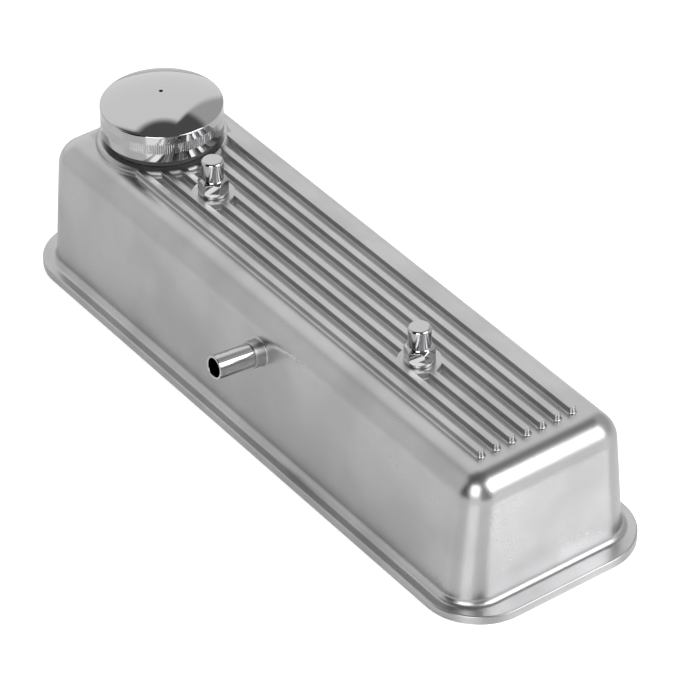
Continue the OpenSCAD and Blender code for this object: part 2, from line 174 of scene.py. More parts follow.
class NutSizes(bpy.types.PropertyGroup):
    """Sizes of the two cover nuts and their washers that the frame's boxes don't give."""

    flats: length("Across flats", "Width across the flats of the hexagon", 12.7)
    side_height: length("Side height", "Height of the hexagon's corners", 5.4)
    foot_width: length("Foot width", "Width of the chamfer round the hexagon's foot", 0.5)
    foot_height: length("Foot height", "Height of that chamfer", 0.4)
    cone_slope: angle("Cone", "Slope of the cone between hexagon and neck", 35)
    neck_radius: length("Neck radius", "Radius of the round upper part", 5.35)
    neck_blend: length("Neck blend", "Width and rise of the blend between cone and neck", 0.3)
    neck_blend_drop: length("Neck blend drop", "How far that blend starts below the cone's end", 0.2)
    shoulder: length("Shoulder", "Rounding between the neck and the flat top", 1.4)
    softness: length("Softness", "Rounding of the hexagon's edges", 0.05)
    front_turn: angle("Front nut's turn", "Turn of the nut next to the filler", 51.8)
    rear_turn: angle("Rear nut's turn", "Turn of the nut near the plain end", 42.1)
    thread_radius: length("Thread core", "Radius of the thread's core", 3.6)
    thread_depth: length("Thread depth", "Depth of the threaded hole", 12)
    drill_point: length("Drill point", "Depth of the drill's point past the thread", 2)
    thread_pitch: length("Thread pitch", "Rise of the thread in one turn", 1.06)
    thread_cut: length("Thread cut", "Depth of the thread's groove", 0.35)
    washer_hole: length("Washer hole", "Radius of the hole in the washers", 4.1)
    washer_edge: length("Washer edge", "Rounding of the washers' edges", 0.35)


class BreatherSizes(bpy.types.PropertyGroup):
    """Sizes of the breather tube and its place on the long side."""

    drop: length("Drop", "Drop from the flat top to the breather's axis at the long side", 20.8)
    position: length("Position", "Place of the breather along the cover", 9)
    reach: length("Reach", "Length from the long side to the tube's open end", 25.4)
    radius: length("Radius", "Outer radius of the tube", 5.8)
    wall: length("Wall", "Wall of the tube", 1.2)
    edge: length("Edge", "Rounding of the edges at the open end", 0.4)
    shoulder_edge: length("Shoulder edge", "Rounding where the tube meets its boss", 0.3)
    step: length("Step", "How much thinner the tube is where it is pressed in", 0.4)


class Finishes(bpy.types.PropertyGroup):
    """Colours and gloss of the materials."""

    alloy: colour("Cast alloy", "Colour of the polished casting", (0.51, 0.51, 0.515))
    alloy_clouded: colour("Clouded alloy", "Colour of the casting's duller clouds", (0.45, 0.45, 0.455))
    alloy_roughness: factor("Alloy roughness", "Roughness of the polished casting", 0.3)
    alloy_haze: factor("Alloy haze", "How much rougher the duller clouds are", 0.05)
    alloy_grain: factor("Alloy grain", "How much roughness the fine grain adds", 0.06)
    valley_roughness: factor("Valley roughness", "Roughness of the casting between the fins", 0.5)
    cast_skin: colour("Cast skin", "Colour of the unpolished inside of the casting", (0.36, 0.36, 0.35))
    chrome: colour("Chrome", "Colour of the chrome plating", (0.5, 0.5, 0.505))
    chrome_roughness: factor("Chrome roughness", "Roughness of the chrome plating", 0.035)
    zinc: colour("Zinc", "Colour of the zinc plated steel", (0.52, 0.52, 0.51))
    rubber: colour("Rubber", "Colour of the rubber", (0.07, 0.07, 0.07))
    wire: colour("Wire", "Colour of the knitted wire", (0.30, 0.29, 0.28))


class StageSettings(bpy.types.PropertyGroup):
    """Camera, floor and light."""

    azimuth: angle("Azimuth", "Direction of the camera round the cover", 54.192)
    elevation: angle("Elevation", "Height of the camera above the horizon", 37.805)
    roll: angle("Roll", "Turn of the camera about its own axis", -0.833)
    distance: length("Distance", "Distance from the camera to its target", 2002.772)
    target_x: length("Target X", "Place of the camera's target along the cover", -19.01)
    target_y: length("Target Y", "Place of the camera's target across the cover", 27.072)
    lens: strength("Lens", "Focal length in millimetres", 215.98)
    sensor: strength("Sensor", "Width of the camera's sensor in millimetres", 36)
    floor_radius: length("Floor radius", "Radius of the round floor", 3000)
    floor_thickness: length("Floor thickness", "Thickness of the floor", 10)
    floor: colour("Floor", "Colour of the floor", (0.86, 0.86, 0.86))
    floor_white: factor("Floor white", "White that the camera sees on the floor beside the lamps' light", 0.5)
    floor_glow: factor("Floor glow", "Glow of the floor that metal and glass see", 0.06)
    floor_shine: factor("Floor shine", "Share of the light that the floor's polish mirrors", 0.16)
    floor_roughness: factor("Floor roughness", "Roughness of the floor's polish", 0.15)
    lamp_distance: length("Lamp distance", "Distance from the lamps to the cover", 2000)
    key_light: strength("Key light", "Power of the lamp off the plain end, in watts", 20)
    side_light: strength("Side light", "Power of the lamp off the breather's side, in watts", 14)
    sky: factor("Sky", "Brightness of the studio where no wall is named", 0.42)
    back_wall: strength("Back wall", "Brightness of the pale wall behind the filler end", 1.08)
    side_wall: factor("Side wall", "Brightness of the wall off the filler's side", 0.82)
    low_wall: factor("Low walls", "Brightness of the low walls under the lamps", 1.0)
    far_gap: factor("Far gap", "Brightness of the gap beyond the far long side", 0.58)
    camera_side: factor("Camera side", "Brightness of the studio behind the camera", 0.2)
    ceiling: factor("Ceiling", "Brightness of the studio overhead", 0.12)


def arc(centre, radius, start, stop, steps):
    """Points on a circle about centre, evenly from the angle start to the angle stop, in degrees."""
    turn = np.radians(np.linspace(start, stop, steps + 1))
    return np.column_stack((centre[0] + radius * np.cos(turn), centre[1] + radius * np.sin(turn)))


def quads(rows, columns, close_rows):
    """Faces of a grid whose columns run round: each joins a point to its neighbours in both directions."""
    row = np.arange(rows if close_rows else rows - 1)[:, None]
    column = np.arange(columns)[None, :]
    below, beside = (row + 1) % rows, (column + 1) % columns
    near, far = row * columns, below * columns
    return np.stack((near + column, near + beside, far + beside, far + column), axis=-1).reshape(-1, 4)


def closed_mesh(grid, close_rows=False):
    """A closed mesh of a grid of points whose columns run round. The first and last rows are capped, or
    joined to each other with close_rows. Points that coincide, as at a pole, are merged."""
    rows, columns = grid.shape[:2]
    faces = quads(rows, columns, close_rows).tolist()
    if not close_rows:
        faces += [list(range(columns)), list(range((rows - 1) * columns, rows * columns))]
    mesh = bpy.data.meshes.new("form")
    mesh.from_pydata(grid.reshape(-1, 3).tolist(), [], faces)
    form = bmesh.new()
    form.from_mesh(mesh)
    bmesh.ops.remove_doubles(form, verts=form.verts, dist=MERGE)
    bmesh.ops.recalc_face_normals(form, faces=form.faces)
    form.to_mesh(mesh)
    form.free()
    return mesh


def turned(profile, steps):
    """Grid of a profile, radii and heights, turned round the Z axis."""
    turn = np.linspace(0, 2 * math.pi, steps, endpoint=False)
    radius, height = profile[:, :1], profile[:, 1:]
    return np.stack((radius * np.cos(turn), radius * np.sin(turn), height + 0 * turn), axis=-1)


def shifted(grid, x, y, z=0.0):
    """The grid moved by x, y and z."""
    return grid + np.array([x, y, z])


def cylinder(radius, low, high, steps=64, top_radius=None):
    """Grid of a cylinder, or of a cone with top_radius, between two heights."""
    upper = radius if top_radius is None else top_radius
    return turned(np.array([[0, low], [radius, low], [upper, high], [0, high]]), steps)


def around(steps):
    """Outward directions round the four corners of a rounded rectangle, with the signs of each one's
    corner."""
    quarter = np.linspace(0, math.pi / 2, steps + 1)
    azimuth = (np.arange(4)[:, None] * math.pi / 2 + quarter).ravel()
    direction = np.column_stack((np.cos(azimuth), np.sin(azimuth)))
    corner = np.repeat([[1, 1], [-1, 1], [-1, -1], [1, -1]], steps + 1, axis=0)
    return direction, corner


def raised_section(radius, height, root, edge, steps=8):
    """Half the section of a raised shape, from the middle of its top to the middle of its foot: a rounded
    edge, an upright side and a filleted root that touches the height 0."""
    return np.vstack((
        [[0, height]],
        arc((radius - edge, height - edge), edge, 90, 0, steps),
        arc((radius + root, root), root, 180, 270, steps),
        [[radius + root, -PAST], [0, -PAST]],
    ))


def casting_sizes():
    """The casting's sizes, with those that follow from them and from the frame's boxes."""
    sizes = bpy.context.scene.cover_casting_sizes
    cap_low, cap_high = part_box("filler_cap_shell")
    s = SimpleNamespace(**{name: getattr(sizes, name) for name in CastingSizes.__annotations__})
    s.half_length, s.half_width, s.raised_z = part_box("cover_casting")[1]
    s.height = s.raised_z - s.fin_height
    s.half_x = s.half_length - s.end_overhang
    s.half_y = s.half_width - s.side_overhang
    s.fillet_z = s.height - s.top_fillet
    climb = s.fillet_z - s.flange_thickness
    s.ball_x = s.half_x - (s.top_fillet + climb * math.sin(s.end_draft)) / math.cos(s.end_draft)
    s.ball_y = s.half_y - (s.top_fillet + climb * math.sin(s.side_draft)) / math.cos(s.side_draft)
    s.filler_x = (cap_low.x + cap_high.x) / 2
    s.inner_top = s.height - s.wall
    s.studs = [stud_axis("front_cover_nut"), stud_axis("rear_cover_nut")]
    return s


def stud_axis(nut):
    """Place of a stud's axis, from its nut's box."""
    low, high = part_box(nut)
    return (low + high) / 2


def wall_at(s, height):
    """Half sizes of the walls' outer face at a height."""
    rise = height - s.flange_thickness
    return np.array([s.half_x - rise * math.tan(s.end_draft), s.half_y - rise * math.tan(s.side_draft)])


def wall_lines(s, inset, low, steps=24):
    """The walls' straight lines, from a rounded rectangle at the height low up to the balls that round the
    top's corners. A line leaves both at the same tilt, the angle at which the rectangle's reach less the
    ball's radius is the climb's share, so wall and fillet meet without a crease. Gives directions, corners,
    tilts and feet."""
    direction, corner = around(steps)
    base = wall_at(s, low) - s.corner_radius
    ball = np.array([s.ball_x, s.ball_y])
    reach = (np.abs(direction) * (base - ball)).sum(axis=1) + s.corner_radius - inset
    climb = s.fillet_z - low
    tilt = np.arccos((s.top_fillet - inset) / np.hypot(reach, climb)) - np.arctan2(climb, reach)
    foot = np.column_stack((corner * base + direction * (s.corner_radius - inset), np.full(len(corner), low)))
    return direction, corner, tilt, foot


def block_grid(s, inset, low, steps=20):
    """The drafted block: its walls' lines, then quarter turns over the balls up to the flat top."""
    direction, corner, tilt, foot = wall_lines(s, inset, low)
    radius = s.top_fillet - inset
    lift = tilt + (math.pi / 2 - tilt) * np.linspace(0, 1, steps + 1)[:, None]
    flat = corner * [s.ball_x, s.ball_y] + radius * np.cos(lift)[..., None] * direction
    crown = np.concatenate((flat, (s.fillet_z + radius * np.sin(lift))[..., None]), axis=-1)
    return np.concatenate((foot[None], crown))


def flange_grid(s, steps=24):
    """The flange: its edge's profile carried round a rounded rectangle."""
    direction, corner = around(steps)
    radius, edge, top = s.flange_corner, s.flange_edge, s.flange_thickness
    profile = np.vstack(([[radius, 0]], arc((radius - edge, top - edge), edge, 0, 90, steps=8)))
    centre = np.array([s.half_length, s.half_width]) - radius
    flat = corner * centre + profile[:, :1, None] * direction
    height = profile[:, 1:] + np.zeros(len(direction))
    return np.concatenate((flat, height[..., None]), axis=-1)


def foot_fillet_grid(s, steps=10):
    """The fillet between walls and flange: round the cover, arcs that touch the flange's top and the
    drafted wall, closed behind them inside the metal."""
    direction, corner, tilt, foot = wall_lines(s, 0, 0)
    radius, top = s.foot_fillet, s.flange_thickness
    outward = np.column_stack((direction, np.zeros(len(direction))))
    normal = outward * np.cos(tilt)[:, None] + UP * np.sin(tilt)[:, None]
    ball = np.column_stack((corner * [s.ball_x, s.ball_y], np.full(len(corner), s.fillet_z)))
    crown = ball + s.top_fillet * normal
    touch_z = top + radius * (1 - np.sin(tilt))
    touch = foot + (crown - foot) * (touch_z / crown[:, 2])[:, None]
    centre = touch + radius * normal
    turn = -math.pi / 2 - (math.pi / 2 - tilt) * np.linspace(0, 1, steps + 1)[:, None]
    bend = centre + radius * (np.cos(turn)[..., None] * outward + np.sin(turn)[..., None] * UP)
    behind = touch - PAST * outward
    below = np.column_stack((behind[:, :2], np.full(len(behind), top - PAST)))
    return np.concatenate(((bend[0] - PAST * UP)[None], bend, behind[None], below[None]))


def fin_grid(s, y, steps=16):
    """A fin: half its section carried along one side, round the tip and back along the other side."""
    section = raised_section(s.fin_width / 2, s.fin_height, s.fin_root, s.fin_edge)
    start = s.filler_x + math.sqrt(s.boss_radius ** 2 - y ** 2) - 2 * PAST
    tip = s.half_length - s.fin_margin - s.fin_width / 2
    turn = np.concatenate(([math.pi / 2], np.linspace(math.pi / 2, -math.pi / 2, steps + 1), [-math.pi / 2]))
    middle = np.concatenate(([start], np.full(steps + 1, tip), [start]))
    reach, height = section[:, :1], section[:, 1:]
    x, across, z = middle + reach * np.cos(turn), y + reach * np.sin(turn), s.height + height + 0 * turn
    return np.stack((x, across, z), axis=-1)


def boss_foot_grid(s, steps=8, turns=128):
    """The fillet round the filler boss, as a ball leaves it that rolls on boss and top: its centre is a
    ball's radius off both, also where the top falls away, and each arc runs from one point of touch to the
    other."""
    turn = np.linspace(0, 2 * math.pi, turns, endpoint=False)
    outward = np.column_stack((np.cos(turn), np.sin(turn), np.zeros(turns)))
    axis = np.array([s.filler_x, 0.0, 0.0])
    centre = axis + (s.boss_radius + s.boss_root) * outward
    nearest = np.clip(centre[:, :2], [-s.ball_x, -s.ball_y], [s.ball_x, s.ball_y])
    aside = np.linalg.norm(centre[:, :2] - nearest, axis=1)
    reach = s.top_fillet + s.boss_root
    centre[:, 2] = s.fillet_z + np.sqrt(reach ** 2 - aside ** 2)
    core = np.column_stack((nearest, np.full(turns, s.fillet_z)))
    normal = (centre - core) / reach
    share = np.linspace(0, 1, steps + 1)[:, None, None]
    spread = np.arccos((outward * normal).sum(axis=1))[:, None]
    blend = (np.sin((1 - share) * spread) * outward + np.sin(share * spread) * normal) / np.sin(spread)
    bend = centre - s.boss_root * blend
    below = bend[-1] - PAST * normal
    inside = np.column_stack((bend[0, :, :2], below[:, 2])) - 2 * PAST * outward
    behind = bend[0] - 2 * PAST * outward
    return np.concatenate((bend, below[None], inside[None], behind[None]))


def breather_frame(s):
    """Turn and origin of the breather: origin on the long side's outer face, Z out along the tube, Y up the
    wall."""
    sizes = bpy.context.scene.cover_breather_sizes
    lean = s.side_draft
    turn = np.array([[1, 0, 0], [0, math.sin(lean), -math.cos(lean)], [0, math.cos(lean), math.sin(lean)]])
    height = s.height - sizes.drop
    return turn, np.array([sizes.position, -wall_at(s, height)[1], height])


def on_breather(s, grid, x=0.0):
    """A grid made in the breather's frame, moved along the wall by x and then put into the cover's frame."""
    turn, origin = breather_frame(s)
    return shifted(grid, x, 0) @ turn.T + origin


def combined(base, tools, operation, skin=None):
    """The mesh of base joined to the tools, or cut by them. A cut leaves the material skin behind it."""
    objects = [bpy.data.objects.new("form", mesh) for mesh in (base, *tools)]
    for item in objects:
        bpy.context.scene.collection.objects.link(item)
        if skin and item is not objects[0]:
            item.data.materials.append(skin)
    for tool in objects[1:]:
        step = objects[0].modifiers.new("form", "BOOLEAN")
        step.solver = "MANIFOLD"
        step.operation = operation
        step.object = tool
        step.material_mode = "TRANSFER"
    bpy.context.view_layer.update()
    mesh = bpy.data.meshes.new_from_object(objects[0].evaluated_get(bpy.context.evaluated_depsgraph_get()))
    for item in objects:
        bpy.data.objects.remove(item)
    return mesh


def add_piece(name, mesh, material, body, node, sharp=35):
    """Puts a finished mesh into the scene as a piece that rides on body and replaces node. Edges turned by
    more than sharp, in degrees, stay crisp, and flat faces are shaded flat right up to their rounded
    edges."""
    mesh.name = name
    if not mesh.materials:
        mesh.materials.append(material)
    mesh.shade_smooth()
    mesh.set_sharp_from_angle(angle=math.radians(sharp))
    piece = bpy.data.objects.new(name, mesh)
    bpy.context.scene.collection.objects.link(piece)
    weights = piece.modifiers.new("Even shading", "WEIGHTED_NORMAL")
    weights.keep_sharp = True
    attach(piece, body)
    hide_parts(node)


class Number:
    """A value that varies over a surface. Arithmetic on it adds Math nodes to its tree."""

    def __init__(self, shader, socket):
        self.shader = shader
        self.socket = socket

    def math(self, operation, *values):
        return self.shader.number("ShaderNodeMath", {"operation": operation}, dict(enumerate(values)))

    def __add__(self, other):
        return self.math("ADD", self, other)

    def __sub__(self, other):
        return self.math("SUBTRACT", self, other)

    def __rsub__(self, other):
        return self.math("SUBTRACT", other, self)

    def __mul__(self, other):
        return self.math("MULTIPLY", self, other)

    def __truediv__(self, other):
        return self.math("DIVIDE", self, other)

    __radd__ = __add__
    __rmul__ = __mul__

    def power(self, exponent):
        return self.math("POWER", self, exponent)

    def __abs__(self):
        return self.math("ABSOLUTE", self)

    def between(self, low, high):
        """A value from 0 to 1 spread over low to high."""
        return self * (high - low) + low

    def step(self, low, high):
        """0 below low and 1 above high, with a smooth rise between."""
        return self.shader.number("ShaderNodeMapRange", {"interpolation_type": "SMOOTHSTEP"},
                                  {"Value": self, "From Min": low, "From Max": high})


class Shader:
    """The node tree of a material or world, and the one way in which its nodes are made."""

    def __init__(self, owner):
        owner.use_nodes = True
        self.tree = owner.node_tree
        self.tree.nodes.clear()

    def node(self, kind, settings=None, inputs=None):
        """Adds a node of a kind: its settings first, then the values or links of its sockets."""
        added = self.tree.nodes.new(kind)
        for name, value in (settings or {}).items():
            setattr(added, name, value)
        for name, value in (inputs or {}).items():
            socket = added.inputs[name]
            if isinstance(value, Number):
                self.tree.links.new(value.socket, socket)
            elif isinstance(value, bpy.types.NodeSocket):
                self.tree.links.new(value, socket)
            else:
                socket.default_value = value
        return added

    def number(self, kind, settings=None, inputs=None, output=0):
        """Adds a node and gives one of its outputs as a Number."""
        return Number(self, self.node(kind, settings, inputs).outputs[output])

    def noise(self, place, scale, detail):
        """Noise over a place, with scale in waves a metre, from about 0 to 1."""
        inputs = {"Vector": place, "Scale": scale, "Detail": detail}
        return self.number("ShaderNodeTexNoise", None, inputs, "Fac")

    def blend(self, share, first, second):
        """A colour between two others."""
        mixed = self.node("ShaderNodeMix", {"data_type": "RGBA"},
                          {"Factor": share, "A": (*first, 1), "B": (*second, 1)})
        return mixed.outputs["Result"]

    def place(self):
        """Object coordinates, in metres."""
        return self.node("ShaderNodeTexCoord").outputs["Object"]

    def parts(self, vector):
        """The three parts of a vector, as Numbers."""
        split = self.node("ShaderNodeSeparateXYZ", None, {"Vector": vector})
        return [Number(self, output) for output in split.outputs]

    def bump(self, height, distance):
        """Normals of a surface raised by height times distance."""
        return self.node("ShaderNodeBump", None, {"Height": height, "Distance": distance}).outputs["Normal"]


def tinted(base, share):
    """A colour's parts times a share."""
    return [part * share for part in base]


def polished_alloy(shader):
    """Polished cast aluminium: soft clouds a few centimetres wide, and a fine grain under the polish. The mop
    doesn't reach the valleys between the fins, which stay duller: there the mask is 1."""
    colours = bpy.context.scene.cover_finishes
    place = shader.place()
    haze = shader.noise(place, scale=24, detail=3).step(low=0.35, high=0.65)
    grain = shader.noise(place, scale=1400, detail=2)
    valley = between_fins(shader, place)
    smoothest = colours.alloy_roughness - colours.alloy_haze
    polish = haze * colours.alloy_haze + grain * colours.alloy_grain + smoothest
    return {
        "Base Color": shader.blend(haze, colours.alloy, colours.alloy_clouded),
        "Metallic": 1.0,
        "Roughness": polish * (1 - valley) + valley * colours.valley_roughness,
        "Normal": shader.bump(grain, distance=0.012 * MM),
    }


def between_fins(shader, place):
    """1 in the valleys between the fins and on the fins' sides, and 0 on their tops and everywhere else."""
    s = casting_sizes()
    x, y, z = shader.parts(place)
    outermost = (s.fin_count - 1) / 2 * s.fin_pitch
    tip = s.half_length - s.fin_margin
    across = 1 - abs(y).step(outermost, outermost + s.fin_width / 2)
    below_tops = 1 - z.step(s.raised_z - s.fin_edge, s.raised_z - s.fin_edge / 2)
    above_walls = z.step(s.height - s.fin_edge, s.height - s.fin_edge / 2)
    return across * below_tops * above_walls * (1 - x.step(tip - s.fin_pitch, tip))


def cast_skin(shader):
    """The unpolished inside of the casting: a sandy, duller skin."""
    colours = bpy.context.scene.cover_finishes
    place = shader.place()
    sand = shader.noise(place, scale=900, detail=4)
    stain = shader.noise(place, scale=18, detail=3).step(low=0.4, high=0.7)
    return {
        "Base Color": shader.blend(stain, colours.cast_skin, tinted(colours.cast_skin, share=0.75)),
        "Metallic": 1.0,
        "Roughness": sand.between(0.42, 0.67),
        "Normal": shader.bump(sand, distance=0.12 * MM),
    }


def chrome_plate(shader):
    """Chrome plating, with the faintest polishing haze."""
    colours = bpy.context.scene.cover_finishes
    haze = shader.noise(shader.place(), scale=160, detail=3)
    spread = 0.015
    return {
        "Base Color": (*colours.chrome, 1),
        "Metallic": 1.0,
        "Roughness": haze.between(colours.chrome_roughness - spread, colours.chrome_roughness + spread),
    }


def zinc_plate(shader):
    """Zinc plated steel: a fine spangle."""
    colours = bpy.context.scene.cover_finishes
    spangle = shader.noise(shader.place(), scale=500, detail=2)
    dull = tinted(colours.zinc, share=0.8)
    return {
        "Base Color": shader.blend(spangle.step(low=0.4, high=0.6), colours.zinc, dull),
        "Metallic": 1.0,
        "Roughness": spangle.between(0.22, 0.34),
    }


def black_rubber(shader):
    """Moulded black rubber with a fine matt grain."""
    colours = bpy.context.scene.cover_finishes
    grain = shader.noise(shader.place(), scale=1200, detail=3)
    worn = tinted(colours.rubber, share=1.6)
    return {
        "Base Color": shader.blend(grain.step(low=0.5, high=0.8), colours.rubber, worn),
        "Roughness": grain.between(0.5, 0.7),
        "Normal": shader.bump(grain, distance=0.05 * MM),
    }


def knitted_wire(shader):
    """A pack of knitted wire: loops about a millimetre apart, with painted shade darkening the gaps between
    them.
    """
    colours = bpy.context.scene.cover_finishes
    loops = shader.noise(shader.place(), scale=900, detail=5)
    # Painted shade: the gaps between the loops are given a tenth of the wire's colour
    gap = tinted(colours.wire, share=0.1)
    return {
        "Base Color": shader.blend(loops.step(low=0.42, high=0.55), gap, colours.wire),
        "Metallic": 1.0,
        "Roughness": 0.45,
        "Normal": shader.bump(loops, distance=0.6 * MM),
    }


def finish(maker):
    """The material that a function describes, made when it is first asked for: one Principled shader, for
    which the function gives the sockets' values."""
    name = maker.__name__.replace("_", " ").capitalize()
    if name not in bpy.data.materials:
        shader = Shader(bpy.data.materials.new(name))
        surface = shader.node("ShaderNodeBsdfPrincipled", None, maker(shader))
        shader.node("ShaderNodeOutputMaterial", None, {"Surface": surface.outputs[0]})
    return bpy.data.materials[name]


class Wall(NamedTuple):
    """A wall of the studio: its azimuth, half its width, the softness of its sides, the height at which the
    ceiling takes over and the softness of that change, all in degrees, and its brightness."""

    azimuth: float
    half_width: float
    softness: float
    top: float
    fade: float
    shade: float


class COVER_OT_stage(bpy.types.Operator):
    """Set the camera, the floor, the lamps and the studio round the cover"""

    bl_idname = "cover.stage"
    bl_label = "Stage"

    def execute(self, context):
        stage = context.scene.cover_stage
        self.add_camera(stage)
        self.add_floor(stage)
        self.add_world(context.scene, stage)
        self.add_lamp("Key lamp", stage.key_light, azimuth=27, elevation=38, size=(1.2, 1.3))
        self.add_lamp("Side lamp", stage.side_light, azimuth=-52, elevation=35, size=(1.0, 1.2))
        context.scene.view_settings.view_transform = "Standard"
        return {"FINISHED"}

    def add_camera(self, stage):
        """A camera that looks at the target from azimuth and elevation, turned by roll about its own axis."""
        level = math.cos(stage.elevation)
        back = Vector((math.sin(stage.azimuth) * level, -math.cos(stage.azimuth) * level,
                       math.sin(stage.elevation)))
        right = Vector((0, 0, 1)).cross(back).normalized()
        up = back.cross(right)
        across = right * math.cos(stage.roll) + up * math.sin(stage.roll)
        upright = up * math.cos(stage.roll) - right * math.sin(stage.roll)
        place = Vector((stage.target_x, stage.target_y, 0)) + back * stage.distance
        data = bpy.data.cameras.new("Camera")
        data.lens = stage.lens
        data.sensor_width = stage.sensor
        camera = bpy.data.objects.new("Camera", data)
        bpy.context.scene.collection.objects.link(camera)
        turn = Matrix((across, upright, back)).transposed().to_4x4()
        camera.matrix_world = Matrix.Translation(place) @ turn
        bpy.context.scene.camera = camera

    def add_floor(self, stage):
        """A pale round floor with a faint polish, which mirrors the lamps for the metal above it. Part of
        its white is a glow that cameras, metal and glass see, and the rest is lit, so it keeps the cover's
        shadow."""
        disc = cylinder(stage.floor_radius, -stage.floor_thickness, 0, steps=96)
        floor = bpy.data.objects.new("Floor", closed_mesh(disc))
        bpy.context.scene.collection.objects.link(floor)
        material = bpy.data.materials.new("Floor")
        shader = Shader(material)
        path = shader.node("ShaderNodeLightPath")
        camera, glossy, through = (Number(shader, path.outputs[name])
                                   for name in ("Is Camera Ray", "Is Glossy Ray", "Is Transmission Ray"))
        white = (glossy + through) * stage.floor_glow + camera * stage.floor_white
        lit = shader.node("ShaderNodeBsdfDiffuse", None, {"Color": (*stage.floor, 1)})
        glow = shader.node("ShaderNodeEmission", None, {"Strength": white})
        shine = stage.floor_shine
        polish = shader.node("ShaderNodeBsdfGlossy", None,
                             {"Color": (shine, shine, shine, 1), "Roughness": stage.floor_roughness})
        both = shader.node("ShaderNodeAddShader", None, {0: lit.outputs[0], 1: glow.outputs[0]})
        whole = shader.node("ShaderNodeAddShader", None, {0: both.outputs[0], 1: polish.outputs[0]})
        shader.node("ShaderNodeOutputMaterial", None, {"Surface": whole.outputs[0]})
        floor.data.materials.append(material)

    def add_world(self, scene, stage):
        """The studio: walls of plain brightness under a dim ceiling, and white where the camera looks past
        the floor. All edges are soft, and a wall lies over those before it."""
        world = bpy.data.worlds.new("Studio")
        scene.world = world
        shader = Shader(world)
        x, y, z = shader.parts(shader.node("ShaderNodeTexCoord").outputs["Generated"])
        level = (x * x + y * y).power(0.5)
        brightness = 0
        for wall in (
                Wall(azimuth=0, half_width=186, softness=1, top=70, fade=4, shade=stage.sky),
                Wall(azimuth=222, half_width=26, softness=6, top=50, fade=6, shade=stage.side_wall),
                Wall(azimuth=152, half_width=46, softness=6, top=68, fade=4, shade=stage.back_wall),
                Wall(azimuth=80, half_width=41, softness=3, top=55, fade=4, shade=stage.far_gap),
                Wall(azimuth=-14, half_width=24, softness=6, top=50, fade=6, shade=stage.camera_side),
                Wall(azimuth=32, half_width=24, softness=6, top=16, fade=5, shade=stage.low_wall),
                Wall(azimuth=-52, half_width=20, softness=6, top=18, fade=5, shade=stage.low_wall)):
            turn = math.radians(wall.azimuth)
            inside = math.radians(wall.half_width - wall.softness)
            outside = math.radians(wall.half_width + wall.softness)
            towards = (x * math.cos(turn) + y * math.sin(turn)) / level
            covered = towards.step(math.cos(outside), math.cos(inside))
            low, high = math.radians(wall.top - wall.fade), math.radians(wall.top + wall.fade)
            above = z.step(math.sin(low), math.sin(high))
            brightness = (1 - covered) * brightness + covered * above.between(wall.shade, stage.ceiling)
        seen = Number(shader, shader.node("ShaderNodeLightPath").outputs["Is Camera Ray"])
        brightness = brightness * (1 - seen) + seen
        white = (1, 1, 1, 1)
        background = shader.node("ShaderNodeBackground", None, {"Color": white, "Strength": brightness})
        shader.node("ShaderNodeOutputWorld", None, {"Surface": background.outputs[0]})

    def add_lamp(self, name, power, azimuth, elevation, size):
        """A rectangular lamp that faces the cover from an azimuth and elevation in degrees, with its two
        sides in metres."""
        turn, lift = math.radians(azimuth), math.radians(elevation)
        away = Vector((math.cos(turn) * math.cos(lift), math.sin(turn) * math.cos(lift), math.sin(lift)))
        data = bpy.data.lights.new(name, "AREA")
        data.shape = "RECTANGLE"
        data.size, data.size_y = size
        data.energy = power
        lamp = bpy.data.objects.new(name, data)
        bpy.context.scene.collection.objects.link(lamp)
        place = away * bpy.context.scene.cover_stage.lamp_distance
        facing = away.to_track_quat("Z", "Y").to_matrix().to_4x4()
        lamp.matrix_world = Matrix.Translation(place) @ facing
        lamp.visible_camera = False


